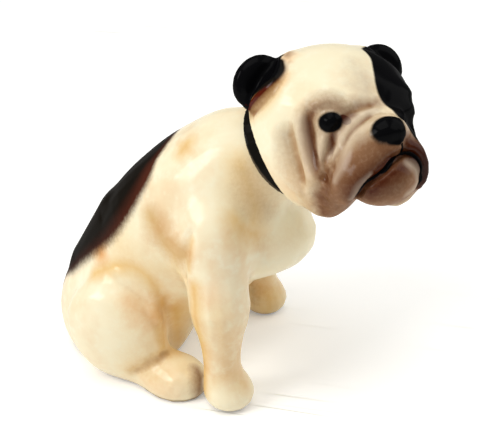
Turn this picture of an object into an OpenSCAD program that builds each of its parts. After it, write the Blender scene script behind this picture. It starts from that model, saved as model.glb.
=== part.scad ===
// Seated bulldog figurine in glazed slip-cast earthenware.
//
// The dog faces -Y with its right side towards -X, and +Z is up. The origin is on the table, on the body's
// midline, under the middle of the belly. All lengths are millimetres and all angles are degrees.
//
// Each casting is a closed skin of sections drawn round a core line. A section's points lie where the clay
// ends: on the surface of a few egg-shaped lumps and tapered bones that are blended into one form. A casting
// that is luted on to another is trimmed by that other casting, so the two meet face to face.

/* [Casting] */
// Thickness of the cast wall of the hollow body and head
wall = 2.6; // [1.6:0.1:4]
// Thickness of the floor under the hollow body
floor_t = 3; // [2:0.1:5]
// Diameter of the vent hole through the floor
vent_d = 3; // [2:0.1:3.8]
// Distance of the vent hole behind the origin
vent_back = 9; // [5:0.1:14]
// How softly the lumps of the body run together
body_soft = 3; // [1.5:0.1:4]
// How softly the lumps of a leg run together
leg_soft = 1.6; // [1:0.1:3]
// How softly the lumps of the head run together
head_soft = 1.8; // [1:0.1:2.4]

/* [Body] */
// Where the body's core line leaves the seat, behind the origin
core_back = 8.5; // [6:0.1:12]
// Height up to which the loin pulls the core line straight
core_loin = 20; // [14:1:26]
// Centre of the neck joint
neck_joint = [-1.4, -27.2, 50.4]; // [-24:0.1:52]
// Slope of the neck, up from level
neck_slope = 40; // [30:1:44]
// Turn of the neck towards the dog's right
neck_turn = 6; // [0:1:12]
// Length over which the neck runs straight into its joint
neck_run = 15; // [10:0.1:18]
// Centre of the rump
rump_at = [0, 7.9, 8]; // [-5:0.1:20]
// Half-sizes of the rump
rump_r = [12.9, 13.9, 15]; // [8:0.1:26]
// Forward tilt of the loin
loin_tilt = 20; // [0:1:40]
// Centre of the loin
loin_at = [0, 3, 18.8]; // [-5:0.1:30]
// Half-sizes of the loin
loin_r = [12.8, 11.4, 12.8]; // [8:0.1:20]
// Forward tilt of the rib cage
ribs_tilt = 25; // [0:1:40]
// Centre of the rib cage
ribs_at = [0, -4.5, 32.3]; // [-10:0.1:40]
// Half-sizes of the rib cage
ribs_r = [13.8, 14.7, 12]; // [8:0.1:20]
// Centre of the chest
chest_at = [0, -18.8, 30.3]; // [-25:0.1:40]
// Half-sizes of the chest
chest_r = [11, 13.1, 8]; // [8:0.1:20]
// Centre of the brisket
brisket_at = [0, -10.6, 20.2]; // [-20:0.1:30]
// Half-sizes of the brisket
brisket_r = [8.1, 7.5, 7.1]; // [4:0.1:14]
// Centre of the withers
withers_at = [0, -11.6, 40.6]; // [-15:0.1:50]
// Half-sizes of the withers
withers_r = [12.2, 11.1, 9.4]; // [8:0.1:20]
// Where the neck's core leaves the withers
neck_root = [-1, -17.1, 46.5]; // [-20:0.1:50]
// Where the neck's core ends, inside the head
neck_end = [-1.6, -29.7, 51.3]; // [-34:0.1:56]
// Radius of the neck at its root
neck_root_r = 8.9; // [7:0.1:13]
// Radius of the neck inside the head
neck_end_r = 7.6; // [6:0.1:12]

/* [Forelegs] */
// Distance of each fore paw from the midline
stance = 16.7; // [14:0.1:20]
// Centre of the shoulder, with X as distance from the midline
shoulder_at = [12.5, -14.4, 34]; // [-20:0.1:40]
// Half-sizes of the shoulder
shoulder_r = [5.5, 7.4, 10]; // [4:0.1:16]
// Centre of the elbow, with X as distance from the midline
elbow_at = [16, -16.6, 22]; // [-20:0.1:30]
// Radius at the elbow
elbow_r = 4.7; // [4:0.1:8]
// Wrist's distance in front of the origin, and its height
wrist_at = [17, 8]; // [4:0.1:20]
// Radius at the wrist
wrist_r = 3.3; // [3:0.1:6]
// Fore paw's distance in front of the origin, and the height of its centre
forepaw_at = [18.4, 3]; // [2:0.1:24]
// Half-sizes of the fore paw
forepaw_r = [4.6, 4.9, 3.8]; // [3:0.1:8]

/* [Hind legs] */
// Centre of the thigh, with X as distance from the midline
thigh_at = [13, 5.5, 13]; // [0:0.1:20]
// Half-sizes of the thigh
thigh_r = [6, 10.5, 11.5]; // [4:0.1:16]
// Heel of the hind foot, with X as distance from the midline
heel_at = [10.3, 8, 3.3]; // [0:0.1:20]
// Radius of the heel
heel_r = 4; // [3:0.1:6]
// Centre of the hind paw, with X as distance from the midline
hindpaw_at = [14.5, -7.2, 2.3]; // [-12:0.1:24]
// Half-sizes of the hind paw
hindpaw_r = [5, 6, 4.2]; // [3:0.1:8]

/* [Head] */
// Centre of the head
head_at = [-1.6, -34, 55.5]; // [-40:0.1:60]
// Turn of the head towards the dog's right
head_turn = 50; // [30:1:60]
// Upward tilt of the face
head_lift = 14; // [10:1:30]
// Sideways tilt of the head, with the left ear lower
head_roll = 5; // [0:1:12]
// Centre of the skull, from the head's centre
skull_at = [0, 0.4, 5]; // [-6:0.1:8]
// Half-sizes of the skull
skull_r = [13.9, 11.6, 9.3]; // [8:0.1:18]
// Centre of the throat, from the head's centre
throat_at = [0, -6.6, -5]; // [-12:0.1:8]
// Half-sizes of the throat
throat_r = [7.5, 7.5, 5.9]; // [4:0.1:12]
// Centre of the cheek, with X as distance from the head's midline
cheek_at = [9, -0.8, -3.1]; // [-8:0.1:12]
// Half-sizes of the cheek
cheek_r = [5.5, 8, 10.3]; // [4:0.1:14]
// Centre of the jowl, with X as distance from the head's midline
jowl_at = [6.8, -10, -8]; // [-12:0.1:12]
// Half-sizes of the jowl
jowl_r = [4, 5.2, 6]; // [4:0.1:10]
// Centre of the brow, with X as distance from the head's midline
brow_at = [5.8, -9.7, 5]; // [-14:0.1:12]
// Half-sizes of the brow
brow_r = [4, 2.8, 2.6]; // [2:0.1:8]
// Centre of the muzzle
muzzle_at = [0, -12.8, -0.2]; // [-18:0.1:4]
// Half-sizes of the muzzle
muzzle_r = [6, 5.4, 4.2]; // [4:0.1:10]
// Centre of the flew, with X as distance from the head's midline
flew_at = [5, -16.2, -3.9]; // [-20:0.1:8]
// Half-sizes of the flew
flew_r = [3, 4.2, 5.4]; // [3:0.1:9]
// How far the lower end of the flew swings outwards
flew_droop = 35; // [0:1:50]
// Centre of the pad under the eye, with X as distance from the head's midline
pad_at = [6.1, -10.4, -1.5]; // [-16:0.1:12]
// Half-sizes of the pad under the eye
pad_r = [2.8, 3, 5]; // [2:0.1:8]
// Centre of the nose
nose_at = [0, -18.9, 1.6]; // [-24:0.1:6]
// Half-sizes of the nose
nose_r = [3.5, 2.4, 2.7]; // [1.5:0.1:5]
// Direction of the eye from the head's centre, outwards and up
eye_aim = [32, 16]; // [8:1:44]
// Radius of the eyeball
eye_r = 2.1; // [1.2:0.1:3]
// How deep the eyeball's centre is set
eye_deep = 1.1; // [0:0.1:2]
// Radius of the hollow round the eye
socket_r = 3; // [2:0.1:4]
// How far outside the face the centre of that hollow lies
socket_out = 1.6; // [1:0.1:3]
// Half the width of the folds of the face
fold_r = 0.7; // [0.4:0.1:1.4]
// Where the fold beside the muzzle starts, as a direction from the head's centre, outwards and up
muzzle_fold_top = [33, 2]; // [-45:1:60]
// The direction that bends that fold
muzzle_fold_bend = [36, -14]; // [-45:1:60]
// Where that fold ends, on the jowl
muzzle_fold_end = [41, -38]; // [-45:1:60]
// Where the fold outside the eye starts
eye_fold_top = [47, 20]; // [-45:1:60]
// The direction that bends that fold
eye_fold_bend = [48, 2]; // [-45:1:60]
// Where that fold ends, under the eye
eye_fold_end = [43, -14]; // [-45:1:60]
// Where the fold down the cheek starts
cheek_fold_top = [62, 14]; // [-45:1:70]
// The direction that bends that fold
cheek_fold_bend = [59, -6]; // [-45:1:70]
// Where that fold ends, above the throat
cheek_fold_end = [52, -22]; // [-45:1:70]
// Centre of the lower jaw
jaw_at = [0, -17.4, -6.6]; // [-20:0.1:0]
// Half-sizes of the lower jaw
jaw_r = [6.6, 5, 4.8]; // [3:0.1:10]

/* [Ears] */
// Centre of the ear, from the head's centre, with X as distance from its midline
ear_at = [12.6, 3.1, 8.4]; // [-4:0.1:18]
// Half-sizes of the ear flap
ear_r = [5.4, 2.4, 4.8]; // [1.5:0.1:8]
// Outward lean of the ear
ear_lean = 35; // [0:5:60]
// Depth of the hollow in the front of the ear
ear_hollow = 1.2; // [0.5:0.1:2]

/* [Collar] */
// Middle of the collar
collar_at = [-1.2, -24.9, 48.3]; // [-30:0.1:60]
// Slope of the collar's axis, up from level
collar_slope = 29; // [20:1:40]
// How far the collar swings forward over the chest
collar_drop = 17; // [0:1:24]
// Width of the collar band along the neck
collar_w = 2.2; // [2:0.1:5]
// Thickness of the collar band
collar_t = 0.9; // [0.5:0.1:1.5]

/* [Tail] */
// Root of the tail
tail_at = [3, 19.4, 9]; // [0:0.1:26]
// Tip of the tail
tail_tip = [10, 18.4, 4.8]; // [-6:0.1:30]
// Radius of the tail at its root
tail_r = 2.4; // [1.5:0.1:4]

/* [Hidden] */

right = -1;
left = 1;
cream = [0.95, 0.87, 0.74];
umber = [0.2, 0.12, 0.09];
far = 200;     // size of the blocks that cut a casting off square
close = 0.004; // how near the clay's surface a point has to lie
crisp = 0.4;   // how softly a fold, an eye or the nose blends into the face
past_joint = 1.02; // how far along its core line a torso runs that has to reach past the neck joint
face_step = 3;     // degrees between the rings that shape the face
over = 1;          // how far a hole's cutter runs past what it pierces

// ---- clay: lumps, bones and how they blend ----

function total(v) = [for (x = v) 1] * v;
function unit(v) = v / norm(v);
function side(at, s) = [s * at.x, at.y, at.z];
function flipped(m) = [for (i = [0:2]) [for (j = [0:2]) m[j][i]]];

// The matrix that turns about X, then Y, then Z.
function turning(a) =
    let (cx = cos(a.x), sx = sin(a.x), cy = cos(a.y), sy = sin(a.y), cz = cos(a.z), sz = sin(a.z))
    [
        [cy * cz, sx * sy * cz - cx * sz, cx * sy * cz + sx * sz],
        [cy * sz, sx * sy * sz + cx * cz, cx * sy * sz - sx * cz],
        [-sy, sx * cy, cx * cy]
    ];

// An egg-shaped lump: its centre, the matrix that makes it a unit ball, and one over its half-sizes.
function lump(at, half, turn = turning([0, 0, 0])) =
    let (inv = [1 / half.x, 1 / half.y, 1 / half.z], m = flipped(turn))
    [at, [for (i = [0:2]) inv[i] * m[i]], inv];
// A round bone from a to b, tapering from radius ra to rb.
function bone(a, b, ra, rb) = [a, b - a, (b - a) * (b - a), ra, rb];

// Roughly how far p lies outside one lump or bone.
function outside(p, l) =
    len(l) == 3
        ? let (q = l[1] * (p - l[0]), n = norm(q), g = norm([q.x * l[2].x, q.y * l[2].y, q.z * l[2].z]))
          n * (n - 1) / max(g, 1e-6)
        : let (t = min(max((p - l[0]) * l[1] / l[2], 0), 1))
          norm(p - l[0] - t * l[1]) - l[3] - t * (l[4] - l[3]);

// How far p lies outside the blended clay. A form is its lumps, its dents, how softly they blend and, where
// it grows out of another form, that form.
function clay(p, form) =
    let (k = form[2], near = [for (l = form[0]) outside(p, l)])
    let (all = len(form) > 3 ? concat(near, clay(p, form[3])) : near)
    let (f = -k * ln(total([for (x = all) exp(-x / k)])))
    len(form[1]) == 0 ? f : k * ln(exp(f / k) + total([for (l = form[1]) exp(-outside(p, l) / k)]));

// The distance from o along d at which the clay, thinned by cut, ends.
function reach(o, d, form, cut, r0 = 0, f0 = undef, r1 = undef, n = 16) =
    f0 == undef
        ? let (f = clay(o, form) + cut) reach(o, d, form, cut, 0, f, max(-f, 0.5), n)
        : let (f1 = clay(o + r1 * d, form) + cut)
          n == 0 || abs(f1) < close ? r1
          : let (slope = min(max((f1 - f0) / (r1 - r0), 0.65), 1.4))
            reach(o, d, form, cut, r1, f1, max(r1 - f1 / slope, 0.05), n - 1);

// ---- skins: sections round a core line ----

// A section: its centre, its normal, the direction of its first point across that, and the angle from the
// normal to its rays, which is 90 for a flat section and 0 or 180 for a pole. The lean is how much less that
// angle is on the side opposite the section's own upward direction.
function section(at, normal, first, cone = 90, lean = 0) =
    let (n = unit(normal), u = unit(first - (first * n) * n)) [at, n, u, cross(n, u), cone, lean];
function ray(s, a) =
    let (c = s[4] - s[5] * pow((1 - sin(a)) / 2, 2)) cos(c) * s[1] + sin(c) * (cos(a) * s[2] + sin(a) * s[3]);
function even(n) = [for (j = [0:n - 1]) 360 * j / n];

// Sections that fan about one point, from the pole behind it to the one in front.
function fan(at, axis, first, from, to, n) =
    [for (i = [0:n]) section(at, axis, first, from + (to - from) * i / n)];
// A point on the smooth curve that some points pull along, and the sections along that curve.
function bend(p, t) = len(p) == 1 ? p[0] : bend([for (i = [1:len(p) - 1]) (1 - t) * p[i - 1] + t * p[i]], t);
function steps_of(p) = [for (i = [1:len(p) - 1]) p[i] - p[i - 1]];
function along(p, first, n, from = 0, to = 1) =
    [for (i = [0:n]) let (t = from + (to - from) * i / n) section(bend(p, t), bend(steps_of(p), t), first)];

// A closed skin over the form, with a flat cap or a pole at each end.
module skin(sections, angles, form, cut = 0) {
    n = len(angles);
    m = len(sections);
    rings = [for (s = sections) [for (a = angles) s[0] + reach(s[0], ray(s, a), form, cut) * ray(s, a)]];
    ends = [for (i = [0, m - 1]) total(rings[i]) / n];
    polyhedron(
        concat([for (r = rings) each r], ends),
        concat(
            [for (i = [0:m - 2]) for (j = [0:n - 1])
                let (a = i * n + j, b = i * n + (j + 1) % n) each [[a, b + n, b], [a, a + n, b + n]]],
            [for (j = [0:n - 1]) [m * n, j, (j + 1) % n]],
            [for (j = [0:n - 1]) [m * n + 1, (m - 1) * n + (j + 1) % n, (m - 1) * n + j]]
        )
    );
}

// A casting without the parts of it that lie inside its neighbours. A size of 0 keeps the casting's own.
module luted() {
    resize([0, 0, 0]) difference() {
        children(0);
        children([1:$children - 1]);
    }
}

module above(z) {
    intersection() {
        children();
        translate([-far / 2, -far / 2, z]) cube(far);
    }
}

// ---- body ----

torso = [
    lump(rump_at, rump_r), lump(loin_at, loin_r, turning([-loin_tilt, 0, 0])),
    lump(ribs_at, ribs_r, turning([-ribs_tilt, 0, 0])), lump(chest_at, chest_r), lump(brisket_at, brisket_r),
    lump(withers_at, withers_r), bone(neck_root, neck_end, neck_root_r, neck_end_r)
];
torso_form = [torso, [], body_soft];

neck_way = [
    -sin(neck_turn) * cos(neck_slope), -cos(neck_turn) * cos(neck_slope), sin(neck_slope)
];
core = [[0, core_back, 0], [0, core_back, core_loin], neck_joint - neck_run * neck_way, neck_joint];
across = [1, 0, 0];

module torso_skin(end = 1) {
    skin(along(core, across, 34, 0, end), even(36), torso_form);
}

module body() {
    color(cream) difference() {
        luted() {
            torso_skin();
            above(floor_t) skin(along(core, across, 15, 0, past_joint), even(20), torso_form, wall);
        }
        translate([0, vent_back, -over]) cylinder(d = vent_d, h = floor_t + 2 * over, $fn = 24);
    }
}

// ---- head ----

head_turned = turning([0, 0, -head_turn]) * turning([-head_lift, 0, 0]) * turning([0, head_roll, 0]);
function on_head(at) = head_at + head_turned * at;
function head_lump(at, half, turn = [0, 0, 0]) = lump(on_head(at), half, head_turned * turning(turn));

skull_form = [
    concat(
        [head_lump(skull_at, skull_r), head_lump(throat_at, throat_r), head_lump(muzzle_at, muzzle_r)],
        [for (s = [right, left]) each [
            head_lump(side(cheek_at, s), cheek_r), head_lump(side(jowl_at, s), jowl_r),
            head_lump(side(brow_at, s), brow_r), head_lump(side(pad_at, s), pad_r),
            head_lump(side(flew_at, s), flew_r, [0, -s * flew_droop, 0])
        ]]
    ),
    [], head_soft, torso_form
];
face_way = head_turned * [0, -1, 0];
head_middle = on_head([0, -1, -1]);

// The point at a depth under the face, in a direction from the head's centre given outwards and up.
function face_point(aim, s, deep = 0) =
    let (d = head_turned * [s * sin(aim[0]) * cos(aim[1]), -cos(aim[0]) * cos(aim[1]), sin(aim[1])])
    head_middle + (reach(head_middle, d, skull_form, 0) - deep) * d;
// A fold along the smooth line that three directions pull.
function fold(top, middle, end, s, n) =
    let (p = [for (i = [0:n]) face_point(bend([top, middle, end], i / n), s)])
    [for (i = [1:n]) bone(p[i - 1], p[i], fold_r, fold_r)];

face_form = [
    [],
    [for (s = [right, left]) each concat(
        fold(muzzle_fold_top, muzzle_fold_bend, muzzle_fold_end, s, 6),
        fold(eye_fold_top, eye_fold_bend, eye_fold_end, s, 4),
        fold(cheek_fold_top, cheek_fold_bend, cheek_fold_end, s, 5),
        [lump(face_point(eye_aim, s, -socket_out), socket_r * [1, 1, 1])]
    )],
    crisp, skull_form
];
head_form = [
    concat(
        [head_lump(nose_at, nose_r)],
        [for (s = [right, left]) lump(face_point(eye_aim, s, eye_deep), eye_r * [1, 1, 1])]
    ),
    [], crisp, face_form
];

// What of a skin lies in front of the neck joint.
module past_neck() {
    intersection() {
        children();
        translate(neck_joint) rotate([-neck_slope, 0, -neck_turn]) translate([-far / 2, -far, -far / 2])
            cube(far);
    }
}

module head_skin() {
    past_neck() skin(
        concat(
            fan(head_middle, face_way, across, 180, 90 + face_step, 16),
            fan(head_middle, face_way, across, 90, 0, 90 / face_step)
        ),
        even(52), head_form
    );
}

module head() {
    // the hollow runs on past the joint, so that the head is open to the body
    color(cream) luted() {
        head_skin();
        skin(fan(head_middle, face_way, across, 180, 0, 16), even(20), skull_form, wall);
    }
}

module lower_jaw() {
    form = [[head_lump(jaw_at, jaw_r)], [], 1];
    color(cream) luted() {
        skin(fan(on_head(jaw_at), face_way, across, 180, 0, 14), even(24), form);
        head_skin();
    }
}

// ---- ears ----

module ear(s) {
    turn = [0, s * ear_lean, 0];
    front = on_head(side(ear_at, s)) + head_turned * turning(turn) * [0, -ear_r.y - ear_hollow, -1];
    form = [
        [head_lump(side(ear_at, s), ear_r, turn)],
        [lump(front, [ear_r.x * 0.75, ear_r.y, ear_r.z * 0.75], head_turned * turning(turn))], 0.8
    ];
    color(umber) luted() {
        skin(
            fan(on_head(side(ear_at, s)) + head_turned * [0, 0.6, 0], face_way, across, 180, 0, 12),
            even(20), form
        );
        head_skin();
    }
}

module ear_right() { ear(right); }
module ear_left() { ear(left); }

// ---- legs ----

module foreleg(s) {
    elbow = side(elbow_at, s);
    shoulder = side(shoulder_at, s);
    wrist = [s * stance, -wrist_at[0], wrist_at[1]];
    paw = [s * stance, -forepaw_at[0], forepaw_at[1]];
    form = [
        [
            lump(shoulder, shoulder_r), bone(shoulder, elbow, elbow_r, elbow_r),
            bone(elbow, wrist, elbow_r, wrist_r), lump(paw, forepaw_r)
        ],
        [], leg_soft
    ];
    path = [shoulder, elbow, wrist, [paw.x, paw.y + 1, 2], [paw.x, paw.y + 1, 0]];
    color(cream) luted() {
        skin(
            concat(fan(shoulder, elbow - shoulder, across, 180, 90, 6), along(path, across, 16)),
            even(18), form
        );
        torso_skin();
    }
}

module foreleg_right() { foreleg(right); }
module foreleg_left() { foreleg(left); }

module hind_leg(s) {
    thigh = side(thigh_at, s);
    heel = side(heel_at, s);
    paw = side(hindpaw_at, s);
    form = [
        [lump(thigh, thigh_r), bone(heel, paw, heel_r, hindpaw_r.z * 0.8), lump(paw, hindpaw_r)], [], leg_soft
    ];
    path = [
        thigh + [0, 0.2 * thigh_r.y, -0.4 * thigh_r.z], thigh + [0, -0.55 * thigh_r.y, -0.6 * thigh_r.z], paw
    ];
    color(cream) luted() {
        above(0) skin(
            concat(
                fan(path[0], path[1] - path[0], across, 180, 90, 7), along(path, across, 10),
                fan(path[2], path[2] - path[1], across, 90, 0, 4)
            ),
            even(20), form
        );
        torso_skin();
    }
}

module hind_leg_right() { hind_leg(right); }
module hind_leg_left() { hind_leg(left); }

// ---- tail and collar ----

module tail() {
    form = [[bone(tail_at, tail_tip, tail_r, tail_r * 0.6)], [], 1];
    path = [tail_at, tail_tip];
    color(cream) luted() {
        skin(
            concat(
                fan(tail_at, tail_tip - tail_at, [0, 0, 1], 180, 90, 4), along(path, [0, 0, 1], 4),
                fan(tail_tip, tail_tip - tail_at, [0, 0, 1], 90, 0, 4)
            ),
            even(14), form
        );
        torso_skin();
    }
}

collar_way = turning([-collar_slope, 0, -neck_turn]) * [0, -1, 0];
function collar_sections(n) = [
    for (i = [0:n])
        section(collar_at + (i / n - 0.5) * collar_w * collar_way, collar_way, across, 90, collar_drop)
];

module collar() {
    color(umber) luted() {
        skin(collar_sections(3), even(36), torso_form, -collar_t);
        torso_skin();
    }
}

body();
head();
lower_jaw();
ear_right();
ear_left();
foreleg_right();
foreleg_left();
hind_leg_right();
hind_leg_left();
tail();
collar();
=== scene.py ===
# Seated bulldog figurine: slip-cast clay, airbrushed coat, painted face, clear glaze.
import math
import bpy
import bmesh
import numpy as np
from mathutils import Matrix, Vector
from mathutils.bvhtree import BVHTree


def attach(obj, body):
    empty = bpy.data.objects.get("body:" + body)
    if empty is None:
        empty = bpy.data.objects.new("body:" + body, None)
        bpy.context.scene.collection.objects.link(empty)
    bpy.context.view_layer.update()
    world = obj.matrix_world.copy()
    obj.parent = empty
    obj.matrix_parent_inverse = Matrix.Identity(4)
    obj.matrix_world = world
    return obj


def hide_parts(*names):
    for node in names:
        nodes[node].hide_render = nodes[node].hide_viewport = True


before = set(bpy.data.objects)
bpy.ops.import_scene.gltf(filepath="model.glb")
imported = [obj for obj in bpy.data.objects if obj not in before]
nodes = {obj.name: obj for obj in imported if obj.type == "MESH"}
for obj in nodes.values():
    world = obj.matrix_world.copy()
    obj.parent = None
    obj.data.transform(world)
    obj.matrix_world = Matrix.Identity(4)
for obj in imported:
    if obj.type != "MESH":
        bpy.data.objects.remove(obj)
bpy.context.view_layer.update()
mm = 0.001
touching = 0.03  # in mm: nearer than this, two castings meet
slack = 0.05  # in mm: how far off its place a face may be and still be found by it


def pickOnly(obj):
    bpy.ops.object.select_all(action="DESELECT")
    obj.select_set(True)
    bpy.context.view_layer.objects.active = obj


def applyModifier(obj, kind, **settings):
    pickOnly(obj)
    modifier = obj.modifiers.new(kind.lower(), kind)
    for key, value in settings.items():
        setattr(modifier, key, value)
    bpy.ops.object.modifier_apply(modifier=modifier.name)


def editAll(obj, operator, **settings):
    # one edit mode operator on the whole mesh of an object
    pickOnly(obj)
    bpy.ops.object.mode_set(mode="EDIT")
    bpy.ops.mesh.select_all(action="SELECT")
    operator(**settings)
    bpy.ops.object.mode_set(mode="OBJECT")


def copyOf(nodeName):
    # a casting to model on, its doubled corners merged
    obj = nodes[nodeName].copy()
    obj.data = obj.data.copy()
    obj.data.materials.clear()
    obj.parent = None
    obj.hide_render = False
    obj.name = nodeName + "Clay"
    bpy.context.collection.objects.link(obj)
    editAll(obj, bpy.ops.mesh.remove_doubles, threshold=0.000001)
    return obj


def joinAll(objects, name):
    pickOnly(objects[0])
    for obj in objects[1:]:
        obj.select_set(True)
    bpy.ops.object.join()
    objects[0].name = name
    return objects[0]


def getPoints(obj):
    values = np.empty(len(obj.data.vertices) * 3)
    obj.data.vertices.foreach_get("co", values)
    return values.reshape(-1, 3) / mm


def setPoints(obj, points):
    obj.data.vertices.foreach_set("co", (points * mm).ravel())
    obj.data.update()


def getNormals(obj):
    values = np.empty(len(obj.data.vertices) * 3)
    obj.data.vertex_normals.foreach_get("vector", values)
    return values.reshape(-1, 3)


def treeOf(obj):
    corners = [v.co / mm for v in obj.data.vertices]
    return BVHTree.FromPolygons(corners, [p.vertices for p in obj.data.polygons])


def distanceTo(tree, points):
    return np.array([tree.find_nearest(Vector(p))[3] for p in points])


def softStep(x):
    x = np.clip(x, 0, 1)
    return x * x * (3 - 2 * x)


def mirrored(path):
    # the same path on the other side of the dog: the first number of each point changes its sign
    return [(-first, *rest) for first, *rest in path]


def keepOuterSkin(obj, isDoorway):
    # drops the hollow inside a casting: the faces of its doorway go, and then the smaller loose part
    bm = bmesh.new()
    bm.from_mesh(obj.data)
    bmesh.ops.delete(bm, geom=[f for f in bm.faces if isDoorway(f)], context="FACES")
    bm.to_mesh(obj.data)
    bm.free()
    editAll(obj, bpy.ops.mesh.separate, type="LOOSE")
    skin, *hollow = sorted(bpy.context.selected_objects, key=lambda part: -max(part.dimensions))
    for part in hollow:
        bpy.data.objects.remove(part)
    editAll(skin, bpy.ops.mesh.fill_holes, sides=0)
    return skin


def stubOf(skin, place, way, name):
    # the end of a casting that lies beyond a plane, closed, to carry its neighbour's skin past their joint
    stub = skin.copy()
    stub.data = skin.data.copy()
    stub.name = name
    bpy.context.collection.objects.link(stub)
    editAll(stub, bpy.ops.mesh.bisect, plane_co=Vector(place) * mm, plane_no=Vector(way), use_fill=True,
            clear_inner=True)
    return stub


def rootInto(obj, hostTree, depth):
    # the trimmed end of a piece is pushed into its host, so that the two fuse
    points = getPoints(obj)
    for i, p in enumerate(points):
        near = hostTree.find_nearest(Vector(p))
        if near[3] < touching:
            points[i] -= np.array(near[1]) * depth  # near holds place, normal, index and distance
    setPoints(obj, points)


def smoothBy(obj, weights, rounds, levels=20):
    # smooths each point by its own weight, rounded to one of so many levels
    group = obj.vertex_groups.new(name="soften")
    steps = np.round(np.clip(weights, 0, 1) * levels).astype(int)
    for step in range(1, levels + 1):
        members = np.nonzero(steps == step)[0]
        if len(members):
            group.add(members.tolist(), step / levels, "REPLACE")
    applyModifier(obj, "SMOOTH", factor=0.5, iterations=rounds, vertex_group="soften")
    obj.vertex_groups.clear()


def smoothLine(path, count=6):
    # an even curve through the points of a brush or tool stroke
    path = np.array(path, float)
    if len(path) < 3:
        return path
    ends = np.vstack([2 * path[0] - path[1], path, 2 * path[-1] - path[-2]])
    line = []
    for i in range(1, len(ends) - 2):
        a, b, c, d = ends[i - 1 : i + 3]
        for t in np.linspace(0, 1, count, endpoint=False):
            line.append(0.5 * (2 * b + (c - a) * t + (2 * a - 5 * b + 4 * c - d) * t**2
                               + (3 * b - a - 3 * c + d) * t**3))
    line.append(path[-1])
    return np.array(line)


def strokeShape(points, path, width, taper):
    # 1 on the line of a stroke, falling to 0 at its width; the taper thins it towards its ends
    near = np.full(len(points), np.inf)
    place = np.zeros(len(points))
    low, high = path.min(0) - width, path.max(0) + width
    inside = np.nonzero(((points > low) & (points < high)).all(1))[0]
    local = points[inside]
    best, spot = near[inside], place[inside]
    if len(path) == 1:
        best = np.linalg.norm(local - path[0], axis=1)
    for i in range(len(path) - 1):
        a, step = path[i], path[i + 1] - path[i]
        t = np.clip((local - a) @ step / max(step @ step, 1e-9), 0, 1)
        gap = np.linalg.norm(local - a - t[:, None] * step, axis=1)
        closer = gap < best
        best = np.where(closer, gap, best)
        spot = np.where(closer, (i + t) / (len(path) - 1), spot)
    near[inside], place[inside] = best, spot
    reach = width * np.ones(len(points))
    if taper and len(path) > 1:
        reach = width * (1 - taper + taper * np.sqrt(np.sin(np.pi * np.clip(place, 0.02, 0.98))))
    return np.clip(1 - near / reach, 0, 1)


class Clay:
    # a lump of clay that is being modelled: its points, its normals and its painted layers
    def __init__(self, obj):
        self.obj = obj
        self.paint = {}
        self.refresh()

    def refresh(self):
        self.points = getPoints(self.obj)
        self.normals = getNormals(self.obj)
        self.tree = treeOf(self.obj)

    def onto(self, origin, direction, reach=60):
        # the outermost point of the clay seen from origin
        return np.array(self.tree.ray_cast(Vector(origin + direction * reach), Vector(-direction))[0])

    def line(self, path):
        # a smooth line on the clay's surface; a path of pairs is directions from the head's middle
        places = [self.onto(headMiddle, aimed(*p)) if len(p) == 2 else np.array(p, float) for p in path]
        return np.array([np.array(self.tree.find_nearest(Vector(p))[0]) for p in smoothLine(places)])

    def press(self, path, width, depth, taper=0.5):
        # a modelling tool drawn along a path; a negative depth raises the clay
        shape = softStep(strokeShape(self.points, self.line(path), width, taper))
        self.points = self.points - self.normals * (shape * depth)[:, None]

    def settle(self, rounds=0, weights=None):
        setPoints(self.obj, self.points)
        if rounds:
            smoothBy(self.obj, np.ones(len(self.points)) if weights is None else weights, rounds)
        self.refresh()

    def lay(self, layer, values):
        old = self.paint.get(layer, np.zeros(len(self.points)))
        self.paint[layer] = np.maximum(old, values)

    def brush(self, layer, path, width, cover=1, taper=0.4):
        self.lay(layer, cover * strokeShape(self.points, self.line(path), width, taper))

    def dab(self, layer, place, across, up, turn=0, cover=1):
        # an oval spot, its edge where the value is one half
        centre = self.line([place])[0]
        normal = np.array(self.tree.find_nearest(Vector(centre))[1])
        side = np.cross(normal, (0, 0, 1))
        side /= np.linalg.norm(side)
        rise = np.cross(side, normal)
        c, s = math.cos(math.radians(turn)), math.sin(math.radians(turn))
        offset = self.points - centre
        x = offset @ side * c + offset @ rise * s
        y = offset @ rise * c - offset @ side * s
        ring = np.sqrt((x / across) ** 2 + (y / up) ** 2 + (offset @ normal / (2 * max(across, up))) ** 2)
        self.lay(layer, cover * np.clip(1 - ring / 2, 0, 1))


def evened(clay, values, rounds):
    # values on the clay's points, averaged again and again with those of the points next to them
    mesh = clay.obj.data
    edges = np.empty(len(mesh.edges) * 2, int)
    mesh.edges.foreach_get("vertices", edges)
    a, b = edges.reshape(-1, 2).T
    count = np.bincount(a, minlength=len(values)) + np.bincount(b, minlength=len(values))
    for step in range(rounds):
        total = np.bincount(a, values[b], len(values)) + np.bincount(b, values[a], len(values))
        values = 0.5 * values + 0.5 * total / count
    return values


def patchOf(clay, outline, edge):
    # a painted patch by its outline, in directions from the head's middle; its edge is soft by some degrees
    out, up = aimsOf(clay.points)
    corners = np.array(outline, float)
    inside = np.zeros(len(out), bool)
    gap = np.full(len(out), np.inf)
    for a, b in zip(corners, np.roll(corners, -1, axis=0)):
        step = b - a
        t = np.clip(((out - a[0]) * step[0] + (up - a[1]) * step[1]) / (step @ step), 0, 1)
        gap = np.minimum(gap, np.hypot(out - a[0] - t * step[0], up - a[1] - t * step[1]))
        crosses = (a[1] > up) != (b[1] > up)
        rise = step[1] if step[1] else 1e-9
        inside ^= crosses & (out < (up - a[1]) * step[0] / rise + a[0])
    return np.clip(0.5 + np.where(inside, gap, -gap) / (2 * edge), 0, 1)


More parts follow.
